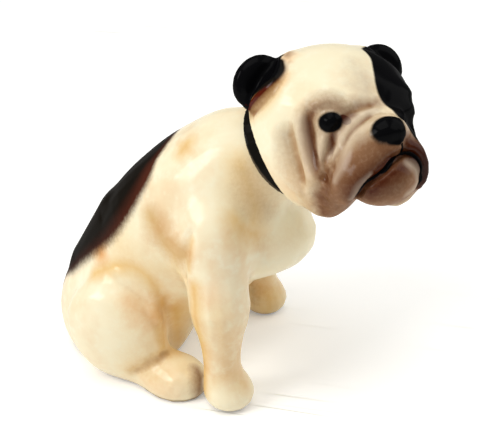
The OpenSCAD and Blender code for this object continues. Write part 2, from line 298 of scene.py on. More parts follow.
def poolAndShadeIn(clay, rounds, scale):
    # glaze gathers in hollows, and painted shade darkens them:
    # how far each point lies below the average of its surroundings
    smooth = np.column_stack([evened(clay, clay.points[:, axis], rounds) for axis in range(3)])
    depth = ((smooth - clay.points) * clay.normals).sum(1)
    clay.lay("poolAndShade", np.clip(depth / scale, 0, 1))


print("helpers ready")

view = {
    "stand": (-174.82, -58.13, 138.0),
    "aim": (0, -18.8, 33.9),
    "lens": 76.32,
    "sensor": 36,
}
bpy.ops.object.camera_add(location=Vector(view["stand"]) * mm)
camera = bpy.context.object
camera.data.lens = view["lens"]
camera.data.sensor_width = view["sensor"]
camera.data.clip_start = 0.01
camera.rotation_euler = (Vector(view["aim"]) - Vector(view["stand"])).to_track_quat("-Z", "Y").to_euler()
bpy.context.scene.camera = camera
bpy.context.scene.view_settings.view_transform = "Standard"

lamps = {
    "skyLamp": {"place": (-60, 60, 900), "aim": (0, -10, 20), "side": 700, "power": 3.2,
                "colour": (1, 0.99, 0.97)},
    "windowLamp": {"place": (-255, 290, 330), "aim": (0, -15, 35), "side": 220, "power": 1.2,
                   "colour": (1, 0.99, 0.97)},
    "sideLamp": {"place": (180, -380, 280), "aim": (0, -15, 30), "side": 420, "power": 0.78,
                 "colour": (1, 1, 0.98)},
}
for lampName, lamp in lamps.items():
    bpy.ops.object.light_add(type="AREA", location=Vector(lamp["place"]) * mm)
    light = bpy.context.object
    light.name = lampName
    light.data.shape = "SQUARE"
    light.data.size = lamp["side"] * mm
    light.data.energy = lamp["power"]
    light.data.color = lamp["colour"]
    light.rotation_euler = (Vector(lamp["aim"]) - Vector(lamp["place"])).to_track_quat("-Z", "Y").to_euler()

worldLight = {"colour": (1, 1, 1, 1), "strength": 0.3}
world = bpy.context.scene.world or bpy.data.worlds.new("studio")
bpy.context.scene.world = world
world.use_nodes = True
world.node_tree.nodes["Background"].inputs["Color"].default_value = worldLight["colour"]
world.node_tree.nodes["Background"].inputs["Strength"].default_value = worldLight["strength"]

bpy.ops.mesh.primitive_plane_add(size=4, location=(0, 0, 0))
table = bpy.context.object
table.name = "table"
print("stage ready")

# the head: how it is held, how its castings run together, and where the neck is cut; in mm and degrees
face = {
    "at": (-1.6, -34, 55.5),
    "turn": 50,
    "lift": 14,
    "roll": 5,
    "middle": (0, -1, -1),
    "voxel": 0.24,
    "neckJoint": (-1.4, -27.2, 50.4),
    "neckSlope": 40,
    "neckTurn": 6,
    "overlap": 5,
    "rootDepth": 0.9,
    "earReach": 2.4,
    "jawReach": 1.0,
    "jointRounds": 80,
    "leftShare": 0.3,
}


def turning(x, y, z):
    # the matrix that turns by so many degrees about each axis
    cx, sx, cy, sy, cz, sz = [f(math.radians(a)) for a in (x, y, z) for f in (math.cos, math.sin)]
    return np.array([
        [cy * cz, sx * sy * cz - cx * sz, cx * sy * cz + sx * sz],
        [cy * sz, sx * sy * sz + cx * cz, cx * sy * sz - sx * cz],
        [-sy, sx * cy, cx * cy],
    ])


headTurned = turning(0, 0, -face["turn"]) @ turning(-face["lift"], 0, 0) @ turning(0, face["roll"], 0)
headMiddle = np.array(face["at"]) + headTurned @ np.array(face["middle"])
slope, swing = math.radians(face["neckSlope"]), math.radians(face["neckTurn"])
neckWay = np.array([-math.sin(swing) * math.cos(slope), -math.cos(swing) * math.cos(slope), math.sin(slope)])
neckJoint = np.array(face["neckJoint"])


def aimed(out, up):
    # a direction from the head's middle: out towards the dog's right, and up, in degrees
    o, u = math.radians(out), math.radians(up)
    return headTurned @ np.array([-math.sin(o) * math.cos(u), -math.cos(o) * math.cos(u), math.sin(u)])


def aimsOf(points):
    # the directions in which points lie from the head's middle
    local = (points - headMiddle) @ headTurned
    out = np.degrees(np.arctan2(-local[:, 0], -local[:, 1]))
    up = np.degrees(np.arcsin(local[:, 2] / np.linalg.norm(local, axis=1)))
    return out, up


# torso, legs and tail are modelled as one form
coat = {
    "voxel": 0.4,
    "rootDepth": 1.2,
    "jointReach": 5.5,
    "jointRounds": 160,
    "shoulderReach": 9,
    "shoulderFrom": 27,
    "shoulderRounds": 260,
    "flankReach": 7,
    "flankFrom": 9,
    "flankBehind": -2,
    "flankRounds": 200,
    "ventAt": (0, 9),
    "ventRadius": 1.5,
    "ventDepth": 3,
}


def isVentWall(f):
    # the wall of the vent hole through the floor of the body
    x, y = coat["ventAt"]
    rim, top = coat["ventRadius"] + slack, coat["ventDepth"] + slack
    return all(math.hypot(v.co.x / mm - x, v.co.y / mm - y) < rim and v.co.z / mm < top for v in f.verts)


def isNeckRing(f):
    # the flat ring on which head and body meet
    across = abs(np.dot(np.array(f.normal), neckWay)) > 0.999
    return across and abs(np.dot(np.array(f.calc_center_median()) / mm - neckJoint, neckWay)) < slack


torsoSkin = keepOuterSkin(copyOf("body"), isVentWall)
skullSkin = keepOuterSkin(copyOf("head"), isNeckRing)
torsoTree = treeOf(torsoSkin)
skullTree = treeOf(skullSkin)
headStub = stubOf(skullSkin, neckJoint + neckWay * face["overlap"], -neckWay, "headStub")
torsoStub = stubOf(torsoSkin, neckJoint - neckWay * face["overlap"], neckWay, "torsoStub")

limbNames = ["foreleg_right", "foreleg_left", "hind_leg_right", "hind_leg_left", "tail"]
limbTrees = {}
limbs = []
for limbName in limbNames:
    limb = copyOf(limbName)
    limbTrees[limbName] = treeOf(limb)
    rootInto(limb, torsoTree, coat["rootDepth"])
    limbs.append(limb)
coatObj = joinAll([torsoSkin, headStub] + limbs, "coatClay")
applyModifier(coatObj, "REMESH", mode="VOXEL", voxel_size=coat["voxel"] * mm)

points = getPoints(coatObj)
toTorso = distanceTo(torsoTree, points)
toLimb = np.min([distanceTo(limbTrees[n], points) for n in limbNames], axis=0)
apart = np.maximum(toTorso, toLimb)
crease = softStep(1 - apart / coat["jointReach"])
shoulder = softStep(1 - apart / coat["shoulderReach"]) * softStep((points[:, 2] - coat["shoulderFrom"]) / 6)
flank = softStep(1 - apart / coat["flankReach"]) * softStep((points[:, 2] - coat["flankFrom"]) / 6)
flank *= softStep((points[:, 1] - coat["flankBehind"]) / 5)
smoothBy(coatObj, np.maximum(crease, 0.02), coat["jointRounds"])
smoothBy(coatObj, shoulder, coat["shoulderRounds"])
smoothBy(coatObj, flank, coat["flankRounds"])
coatClay = Clay(coatObj)
print("coat clay joined:", len(coatClay.points), "points")

# what the modelling tool draws on both sides: path, width, depth, given for the right side
coatTools = [
    ([(-18.4, 0.6, 4.6), (-17.4, -1.6, 6.2), (-16.2, -3.6, 7.6), (-14.5, -5.4, 8.4)], 2.4, 0.55),
    ([(-17.3, -11.4, 38.4), (-17.8, -10.9, 35.7), (-17.3, -9.9, 32.1), (-17, -9.6, 28)], 2.4, 0.6),
    ([(-13.4, 5, 25.4), (-14.6, 0.5, 24.2), (-14.6, -3, 20.4), (-14.6, -4.6, 16)], 2.6, -0.5),
    ([(-19.5, -8, 5), (-18.5, -10.5, 5), (-16, -11.6, 5)], 3, -0.4),
]
for path, width, depth in coatTools:
    coatClay.press(path, width, depth)
    coatClay.press(mirrored(path), width, depth)
# the back is a little fuller between the shoulders and the rump
coatClay.press([(-1.5, 10, 33), (-1.5, 12.5, 29.5), (-1, 15, 25), (-1, 17.2, 21)], 9, -0.9)
coatClay.settle(3)
# the foot stays flat on the table
coatClay.points[:, 2] = np.maximum(coatClay.points[:, 2], 0)
coatClay.settle()
bpy.ops.mesh.primitive_cylinder_add(
    vertices=48, radius=coat["ventRadius"] * mm, depth=2 * coat["ventDepth"] * mm,
    location=(coat["ventAt"][0] * mm, coat["ventAt"][1] * mm, 0))
drill = bpy.context.object
applyModifier(coatClay.obj, "BOOLEAN", operation="DIFFERENCE", object=drill, solver="EXACT")
bpy.data.objects.remove(drill)
coatClay.refresh()
print("coat modelled")

# skull, jaw and ears are modelled as one form
partTrees = {}
parts = []
for partName in ["lower_jaw", "ear_right", "ear_left"]:
    part = copyOf(partName)
    partTrees[partName] = treeOf(part)
    rootInto(part, skullTree, face["rootDepth"])
    parts.append(part)
headObj = joinAll([skullSkin, torsoStub] + parts, "headClay")
applyModifier(headObj, "REMESH", mode="VOXEL", voxel_size=face["voxel"] * mm)

points = getPoints(headObj)
toSkull = distanceTo(skullTree, points)
toJaw = distanceTo(partTrees["lower_jaw"], points)
toEars = [distanceTo(partTrees["ear_right"], points), distanceTo(partTrees["ear_left"], points)]
soften = softStep(1 - np.maximum(toSkull, np.minimum(*toEars)) / face["earReach"])
soften = np.maximum(soften, 0.5 * softStep(1 - np.maximum(toSkull, toJaw) / face["jawReach"]))
smoothBy(headObj, np.maximum(soften, 0.12), face["jointRounds"])
headClay = Clay(headObj)
print("head clay joined:", len(headClay.points), "points")

# what the modelling tool draws on the right side of the face, and fainter on the left: path, width, depth
faceTools = [
    ([(3, 26), (12, 24), (20, 18), (27, 9), (31, 0), (34, -9), (37, -17)], 2.2, 0.42),
    ([(8, 18), (14, 15), (21, 9), (26, 1), (30, -6), (32, -14)], 1.4, 0.3),
    ([(2, 21), (13, 19), (21, 14), (26, 8), (28, 2), (33, -6)], 1.5, -0.35),
    ([(42, 23), (48, 18), (47, 11), (44, 3), (42, -4), (40, -10), (37, -15), (33, -20)], 2.4, 0.32),
    ([(22, 18), (29, 9), (32, 3), (33, -3), (35, -7)], 1.4, 0.3),
    ([(36, 6), (38, 0), (38, -6)], 1.8, -0.25),
    ([(53, 17), (52, 6), (49, -6), (44, -16)], 2.6, -0.3),
    ([(66, 4), (62, -10), (55, -22)], 4, 0.3),
    ([(43, 25), (34, 29), (25, 28), (17, 27)], 2.4, -0.4),
    ([(4, 8), (14, 4), (22, -5), (27, -15), (30, -26)], 3.5, -0.35),
]
# the left side of the face starts smooth
out, up = aimsOf(headClay.points)
headClay.settle(24, softStep((-out - 16) / 12) * softStep((up + 12) / 12) * softStep((60 - up) / 14))
for path, width, depth in faceTools:
    headClay.press(path, width, depth)
    headClay.press(mirrored(path), width, depth * face["leftShare"])
# the left side of the face falls away more steeply
headClay.press([(-31, 14), (-30, 8), (-28, 1), (-26, -6)], 5, 0.9)
headClay.press([(-25, -8), (-27, -14), (-28, -20)], 4.5, 0.6)
# the ears fold forward and run into the skull without a step
headClay.press([(104, 57), (98, 60)], 5, -0.7)
headClay.press([(-104, 57), (-98, 60)], 5, -0.5)
headClay.press([(94, 54), (87, 49), (83, 42), (86, 34), (94, 26), (102, 20)], 2.6, -0.8)
headClay.press([(86, 54), (80, 47), (77, 40), (81, 31), (90, 22), (99, 15)], 1.4, 0.3)
headClay.settle(3)
lips = {
    "right": [(-6, -4), (0, -6), (6, -9), (11, -12), (16, -16), (18, -22), (20, -28)],
    "left": [(-6, -4), (-10, -4), (-14, -7), (-17, -12), (-19, -18), (-20, -24)],
    "philtrum": [(-4, 1.5), (-5.5, -1), (-6, -4)],
}
headClay.press([(-3, 1), (5, -2), (12, -6), (18, -11), (22, -18), (24, -27)], 2.6, -0.8)
headClay.press([(-9, 0), (-14, -2), (-18, -8), (-22, -16), (-24, -24)], 2.2, -0.5)
headClay.settle()
headClay.press(lips["right"], 0.9, 0.8, 0.4)
headClay.press(lips["left"], 1.0, 0.8, 0.3)
headClay.press(lips["philtrum"], 0.8, 0.35, 0.3)
headClay.settle(2)
print("face modelled")

# the painting: how much of a stroke the left side gets, the black's fade in mm, how often an edge is evened
# out, and for the pooled glaze and painted shade in the hollows the rounds and the depth in mm
paint = {
    "leftShare": 0.7,
    "inkFade": 2.4,
    "inkRounds": 24,
    "saddleRounds": 40,
    "coatPoolAndShade": (60, 0.6),
    "headPoolAndShade": (40, 0.18),
}

# airbrushed and brushed colour on the coat, with painted shade in creases, under the head and between legs:
# layer, path, width, cover, and whether the left side has it too
coatStrokes = [
    ("plum", [(1.6, 2.5, 44.5), (-0.2, 5, 42.3), (-0.9, 8.3, 37.4), (1.9, 12, 31.5), (5, 15.6, 25),
              (6.4, 18.5, 19.5), (6, 19.8, 14.5)], 21, 1, False),
    ("umber", [(3, 2.5, 44.5), (1.8, 5.5, 41.5), (0.8, 9, 37), (2.6, 12.5, 31.2), (5.2, 15.8, 25),
               (6.4, 18.5, 19.5), (6, 19.8, 14.5)], 21, 1, False),
    ("ochre", [(-6.2, -8.6, 50.9), (-7.2, -7.6, 49.8)], 4.2, 0.9, False),
    # painted shade in the crease behind the shoulder and down to the armpit
    ("moss", [(-12.9, -2.7, 38.7), (-14.2, -4.6, 36.4), (-14.8, -6, 34)], 4.6, 0.95, False),
    ("moss", [(-14.6, -6.4, 34.4), (-16.2, -8.2, 33.4), (-17, -9.6, 33.4)], 5, 1.15, True),
    ("ochre", [(-17.4, -11.6, 37), (-17.8, -11.2, 34), (-18, -11.4, 31)], 1.8, 0.7, True),
    ("blush", [(-8.6, 10.2, 29), (-9.3, 9.4, 28.1), (-10.4, 8.7, 27)], 4.5, 1.1, True),
    ("ochre", [(-9, 10, 28.6), (-10.4, 8.7, 27)], 4.5, 0.9, True),
    ("ochre", [(-14.4, -19.8, 41), (-13.4, -21, 38), (-11, -22, 36)], 6, 0.8, False),
    ("ochre", [(-12.6, 10, 24), (-12.6, 6.3, 25.6), (-13.2, 2.9, 27), (-13.6, -0.3, 26.6),
               (-13.4, -2.3, 24.4), (-13, -3.6, 21)], 4, 0.9, True),
    ("blush", [(-16, 1.6, 21), (-16, -0.4, 19.4), (-15.6, -2, 17)], 4.6, 0.55, True),
    ("ochre", [(-13, -4.6, 20), (-14, -5, 15), (-14.6, -5, 10)], 4.4, 1, True),
    # painted shade in the crease between thigh and foot
    ("moss", [(-18.3, 1, 4.6), (-17.4, -1.3, 6.2), (-16.2, -3.5, 7.6), (-14.6, -5.4, 8.4)], 2.6, 0.35, True),
    ("ochre", [(-18, -2, 5), (-17.6, -5, 5.4), (-16, -8.6, 5)], 9, 0.4, True),
    ("blush", [(-18, -3.5, 3), (-17, -7, 3)], 6, 0.4, True),
    ("ochre", [(-20.5, -17, 24), (-20, -18.4, 17), (-19.6, -19, 11), (-19, -20.4, 6)], 6, 0.4, True),
    # painted shade along the crease between thigh and foot
    ("ochre", [(-18.4, 1.4, 5), (-17.2, -1.5, 7), (-15, -4.6, 9)], 5, 0.6, True),
    # painted shade on the belly between the haunch and the foreleg
    ("ochre", [(-10.6, -6, 17), (-10, -6.4, 12), (-8, -6.4, 7), (-5, -5.6, 3)], 8, 1, True),
    ("ochre", [(-12.6, -5, 16), (-13.6, -5.4, 11), (-12, -6, 6)], 5, 0.9, True),
    ("ochre", [(-9, 6, 34), (-12, 3, 30), (-15, -3, 27), (-17, -9, 27)], 9, 0.45, True),
    ("ochre", [(-15, 0, 24), (-17, -2, 18), (-17, -3, 12), (-18, 0, 8)], 8, 0.35, True),
    # painted shade on the neck under the head
    ("ochre", [(-10.2, -19.3, 49.7), (-10.8, -20.9, 46), (-10.4, -22, 41.5), (-10.6, -21.4, 38)], 7,
     0.75, False),
    ("mauve", [(-9, -20.4, 48), (-9.4, -21.6, 44.5), (-8.6, -24, 40)], 5.5, 0.32, False),
    ("ochre", [(-10.6, -21.6, 38), (-13, -21.4, 37)], 4, 0.5, True),
    # painted shade on the chest under the chin
    ("moss", [(-3.5, -29.4, 34.7), (-7.9, -27.3, 33.2), (-10.6, -24, 33)], 4, 0.2, True),
    ("blush", [(-19.9, -16.5, 29), (-20.4, -15.9, 26.5)], 4.2, 0.6, True),
    ("ochre", [(-19.4, -12.2, 28), (-20.5, -13, 21.7), (-19.6, -13.7, 16.6), (-18.6, -13.8, 9.7),
               (-19, -14.1, 4)], 4, 1, True),
    ("ochre", [(-18.4, -2.7, 4.1), (-17.9, -5.7, 6.2), (-17, -8.5, 6.5)], 4, 0.5, True),
    # painted shade between the hind foot and the foreleg
    ("sienna", [(-15.4, -11.4, 6), (-16.8, -12.2, 3.8), (-17.5, -12.4, 1.2)], 3.4, 0.75, True),
    ("ochre", [(-20.3, -16.5, 8), (-19.5, -19.5, 9), (-18, -21.9, 6)], 4.4, 0.5, True),
    ("ochre", [(13, -18.6, 8), (13.6, -20, 4), (14, -19, 1)], 8, 0.9, False),
    ("sienna", [(12.4, -16.4, 8), (12.4, -17, 4)], 3, 0.3, False),
    ("ochre", [(3.4, 19.2, 9), (9, 19.6, 5.4)], 3.4, 0.6, False),
]
for layer, path, width, cover, both in coatStrokes:
    coatClay.brush(layer, path, width, cover)
    if both:
        coatClay.brush(layer, mirrored(path), width, paint["leftShare"] * cover)

# the same on the face, its paths given as directions; the darker strokes in its folds and grooves are partly
# painted shade
faceStrokes = [
    ("mauve", [(8, 4), (14, 0), (20, -7), (25, -15), (29, -25), (31, -33)], 9, 0.9),
    ("mauve", [(2, 2), (0, -1), (-3, -3)], 4.5, 0.75),
    ("mauve", [(28, 2), (34, -6), (37, -16), (38, -28), (38, -38)], 6, 0.75),
    ("mauve", [(46, 19), (42, 24), (34, 27), (26, 25), (20, 20)], 3.6, 0.75),
    ("mauve", [(20, 24), (14, 22), (8, 22), (2, 24)], 3.4, 0.7),
    ("mauve", [(24, 19), (16, 24), (8, 26), (0, 26), (-4, 27)], 3, 0.8),
    # painted shade beside the edge of the black eye patch
    ("mauve", [(2, 32), (-2, 40), (-4, 48)], 5, 0.35),
    ("mauve", [(7, 18), (14, 14), (21, 8), (26, 1), (30, -6), (32, -14)], 1.8, 0.9),
    ("mauve", [(43, 24), (47, 17), (46, 6), (44, -4), (41, -13), (36, -22)], 4, 0.9),
    ("mauve", [(29, 9), (31, 4), (32, -1), (35, -6)], 2, 0.9),
    ("mauve", [(66, 4), (62, -8), (56, -20), (52, -30)], 4.5, 0.5),
    ("sienna", [(48, 16), (46, 5), (43, -4), (41, -11)], 3.2, 0.8),
    ("sienna", [(41, -10), (37, -15), (34, -20), (35, -28)], 2.4, 0.5),
    ("sienna", [(25, 16), (22, 17), (17, 19)], 2.0, 1),
    ("sienna", [(31, 9), (31, 3), (31, -2)], 1.8, 0.9),
    ("sienna", [(38, 24), (30, 23), (23, 20)], 2.2, 0.5),
    ("sienna", [(0, -3), (7, -6), (13, -9), (18, -11), (22, -15), (23, -20)], 4.6, 0.9),
    ("sienna", [(33, -19), (34, -25), (36, -34)], 3, 0.5),
    # painted shade on the jaw under the overhanging lip
    ("mauve", [(-2, -8), (4, -11), (9, -14), (13, -19), (14, -26)], 7, 1),
    ("mauve", [(10, -2), (17, -8), (22, -14), (26, -24)], 5, 1),
    # painted shade on the jaw and chin under the lip, in this stroke and the next
    ("mauve", [(-9, -10), (-10, -16), (-4, -20), (6, -22), (14, -26)], 4, 0.6),
    ("sienna", [(-3, -9), (4, -11), (9, -14), (13, -19)], 5, 1),
    ("sienna", [(33, -14), (34, -22), (36, -30), (38, -40)], 4, 0.45),
    ("sienna", [(2, -5), (8, -8.5), (13, -11.5), (18, -16), (20, -23)], 2.6, 1.3),
    ("mauve", [(-5, -7), (-9, -9), (-13, -13)], 2.6, 0.8),
    # painted shade beside the edge of the black eye patch
    ("mauve", [(-2, 40), (-1, 52), (-3, 62)], 4, 0.2),
    ("moss", [(-10, 0), (-16, -5), (-21, -13), (-25, -22)], 4, 0.8),
    ("mauve", [(-8, 3), (-14, -2), (-21, -10), (-28, -18), (-32, -30)], 9, 1),
    ("sienna", [(-10, 0), (-16, -5), (-22, -12), (-25, -22)], 5, 1.3),
    ("rust", [(-8, -3), (-13, -6), (-18, -11), (-21, -20)], 3, 0.6),
    ("sienna", [(-16, -14), (-20, -20), (-18, -26), (-12, -28)], 3, 0.9),
    # painted highlights along the raised folds and the rim of the jaw
    ("ridgeHighlight", [(2, 21), (13, 19), (21, 14), (26, 8), (28, 2), (33, -6)], 1.5, 0.4),
    ("ridgeHighlight", [(10, 13), (18, 9), (23, 2), (26, -6), (30, -14)], 1.4, 0.3),
    ("ridgeHighlight", [(37, 7), (38, 2), (38, -4)], 2, 0.3),
    ("ridgeHighlight", [(53, 18), (53, 6), (50, -6), (46, -16)], 2, 0.3),
    ("ridgeHighlight", [(-7, -8), (-12, -12), (-13, -18), (-6, -21)], 1.6, 0.35),
    ("ridgeHighlight", [(14, -10), (19, -15), (22, -22)], 1.2, 0.25),
]
for layer, path, width, cover in faceStrokes:
    headClay.brush(layer, path, width, cover)

# the outline of the black patch round the left eye
leftPatch = smoothLine([
    (-50, 66), (-36, 60), (-25, 55), (-14, 45), (-9, 36), (-8, 28), (-10, 21), (-12, 14), (-13, 7), (-15, 2),
    (-22, -3), (-36, -5), (-52, 4), (-70, 14), (-90, 20), (-104, 40), (-96, 62), (-70, 70), (-50, 66)], 4)
# washes over the muzzle: layer, outline, softness of the edge, cover
facePatches = [
    ("mauve", [(0, 9), (10, 12), (20, 8), (29, 1), (38, -10), (46, -26), (44, -50), (10, -60), (-30, -50),
               (-30, -8), (-12, 4)], 7, 1),
    ("mauve", [(0, 22), (16, 28), (34, 29), (44, 20), (46, 4), (50, -14), (56, -50), (20, -60), (-30, -50),
               (-30, -5), (-6, 10)], 8, 0.5),
    ("ochre", [(6, 20), (20, 26), (44, 28), (58, 10), (66, -10), (60, -50), (20, -60), (-30, -50), (-30, -5),
               (-6, 4)], 12, 0.25),
]
for layer, outline, edge, cover in facePatches:
    headClay.lay(layer, cover * patchOf(headClay, outline, edge))
for path, width in [(lips["right"], 0.7), (lips["left"], 0.8), (lips["philtrum"], 0.6)]:
    headClay.brush("black", path, width, 1, 0.3)
headClay.brush("black", [(-1, -5.5), (3, -7.4), (7, -10)], 1.3, 1)
# painted shadow in the gap between the jaw and the left flew
headClay.brush("black", [(-17, -15), (-20, -20), (-20, -26)], 1.5, 1)
# the nose is three dabs: direction, half width, half height, turn
noseDabs = [((3, 11.8), 3.25, 2.3, -22), ((0, 8.5), 2.5, 2.2, -40), ((-1.5, 6.5), 1.9, 1.8, -22)]
for place, across, up, turn in noseDabs:
    headClay.dab("black", place, across, up, turn)
# the eye is a black dab on a brown one, with a red corner and a brown line below it
eye = {"at": (31.5, 15), "size": (2.2, 1.8), "rim": (3.2, 2.7), "turn": -8, "corner": (22, 16.5)}
headClay.dab("sienna", eye["at"], *eye["rim"], eye["turn"], 0.6)
headClay.dab("plum", eye["corner"], 0.95, 0.6, 25)
headClay.brush("sienna", [(31.5, 9), (31, 3)], 1.8, 0.9)
headClay.dab("black", eye["at"], *eye["size"], eye["turn"])
# the ears, what runs down from them and the patch round the left eye are one black glaze
points = headClay.points
toSkull = distanceTo(skullTree, points)
inked = patchOf(headClay, leftPatch[:-1], 9)
for earName in ["ear_right", "ear_left"]:
    toEar = distanceTo(partTrees[earName], points)
    inked = np.maximum(inked, np.clip(0.5 + (toSkull - toEar) / paint["inkFade"], 0, 1) * (toEar < 3))
earFront = [(104, 60), (96, 57), (87, 51), (80, 46), (80, 41), (87, 36), (96, 29), (104, 22), (107, 26),
            (108, 40), (107, 54)]
for outline in [earFront, mirrored(earFront)]:
    inked = np.maximum(inked, patchOf(headClay, outline, 5))
headClay.lay("black", evened(headClay, inked, paint["inkRounds"]))
# below the ears the black thins to a brown edge
earEdge = [(88, 51), (82, 46), (81, 40), (85, 33), (93, 25), (103, 17)]
for path in [earEdge, mirrored(earEdge)]:
    headClay.brush("rust", path, 2, 1.2)
    headClay.brush("rust", path[2:], 3.1, 1)
    headClay.brush("ochre", path[2:], 4.6, 1.2)
    headClay.brush("blush", path, 3.4, 0.5)
earShade = [(88, 51), (82, 46), (83, 40), (90, 34), (99, 27)]
for path in [earShade, mirrored(earShade)]:
    headClay.brush("umber", path, 2.3, 0.8)
headClay.brush("rust", [(99, 61), (93, 58)], 2, 0.5)
headClay.brush("blush", [(98, 60), (89, 56)], 3, 0.9)
print("painted")
for layer in ["plum", "umber"]:
    coatClay.paint[layer] = evened(coatClay, coatClay.paint[layer], paint["saddleRounds"])
# pooled glaze and painted shade in the hollows of coat and head
poolAndShadeIn(coatClay, *paint["coatPoolAndShade"])
poolAndShadeIn(headClay, *paint["headPoolAndShade"])
print("glaze pooled")

# layer of underglaze or of painted shade or highlight, its tint, where its edge begins and ends,
# how ragged the edge is, how it mixes, and how far it dulls the clear glaze
palette = [
    # painted shade in the hollows, with the glaze pooled there
    ("poolAndShade", (0.60, 0.45, 0.33), 0.2, 1.0, 0.1, "MULTIPLY", 0),
    ("ochre", (0.86, 0.64, 0.35), 0.0, 1.0, 0.25, "MULTIPLY", 0),
    ("moss", (0.74, 0.56, 0.36), 0.0, 0.9, 0.25, "MULTIPLY", 0),
    ("blush", (0.93, 0.70, 0.56), 0.0, 1.0, 0.25, "MULTIPLY", 0),
    ("mauve", (0.30, 0.18, 0.135), 0.0, 1.0, 0.22, "MULTIPLY", 0.6),
    ("rust", (0.10, 0.016, 0.006), 0.05, 0.95, 0.18, "MULTIPLY", 0.6),
    ("sienna", (0.26, 0.11, 0.06), 0.1, 1.0, 0.3, "MULTIPLY", 0.6),
    ("plum", (0.075, 0.02, 0.011), 0.34, 0.47, 0.05, "MIX", 1.0),
    ("ridgeHighlight", (0.90, 0.76, 0.58), 0.0, 1.0, 0.15, "highlight", 0),  # painted highlight along the raised folds, mixed back towards the slip colour
    ("umber", (0.009, 0.007, 0.005), 0.3, 0.56, 0.05, "MIX", 1.0),
    ("black", (0.0025, 0.0025, 0.003), 0.44, 0.57, 0.04, "MIX", 1.0),
]


def feed(tree, socket, value):
    # a link where the value comes from another node, or else a plain number or colour
    if isinstance(value, bpy.types.NodeSocket):
        tree.links.new(value, socket)
    else:
        socket.default_value = value


def addNode(tree, kind, settings=None, **inputs):
    new = tree.nodes.new(kind)
    for key, value in (settings or {}).items():
        setattr(new, key, value)
    for key, value in inputs.items():
        feed(tree, new.inputs[key], value)
    return new


def mixColour(tree, blend, factor, below, above):
    new = tree.nodes.new("ShaderNodeMix")
    new.data_type = "RGBA"
    new.blend_type = blend
    for index, value in [(0, factor), (6, below), (7, above)]:
        feed(tree, new.inputs[index], value)
    return new.outputs[2]


def noiseOf(tree, place, scale, detail, rough=0.5):
    new = addNode(tree, "ShaderNodeTexNoise", Vector=place, Scale=scale, Detail=detail, Roughness=rough)
    return new.outputs[0]


def rangeOf(tree, value, low, high, toLow=0.0, toHigh=1.0, kind="SMOOTHSTEP"):
    new = addNode(tree, "ShaderNodeMapRange", {"interpolation_type": kind}, Value=value)
    for name, number in [("From Min", low), ("From Max", high), ("To Min", toLow), ("To Max", toHigh)]:
        new.inputs[name].default_value = number
    return new.outputs[0]


def mathOf(tree, operation, a, b):
    new = tree.nodes.new("ShaderNodeMath")
    new.operation = operation
    feed(tree, new.inputs[0], a)
    feed(tree, new.inputs[1], b)
    return new.outputs[0]


def newMaterial(name):
    material = bpy.data.materials.new(name)
    material.use_nodes = True
    tree = material.node_tree
    place = addNode(tree, "ShaderNodeTexCoord").outputs["Object"]
    return material, tree, tree.nodes["Principled BSDF"], place


glaze = {
    "cream": (0.97, 0.87, 0.62, 1),
    "warm": (0.89, 0.68, 0.42, 1),
    "pale": (0.98, 0.92, 0.70, 1),
    "bisque": (0.86, 0.82, 0.74, 1),
    "bisqueTop": 0.00004,
    "foot": (0.38, 0.31, 0.19, 1),  # painted shade: a darker band along the foot where it meets the table
    "footTop": 0.0011,
    "cloudScale": 75,
    "mottleScale": 420,
    "grainScale": 1300,
    "rippleScale": 160,
    "rippleHeight": 0.0003,
    "rippleStrength": 0.25,
    "roughness": (0.22, 0.34),
    "clear": 0.6,
    "clearLoss": 0.53,  # the black soaks up the clear glaze, so it shines less
    "clearRoughness": 0.17,
}


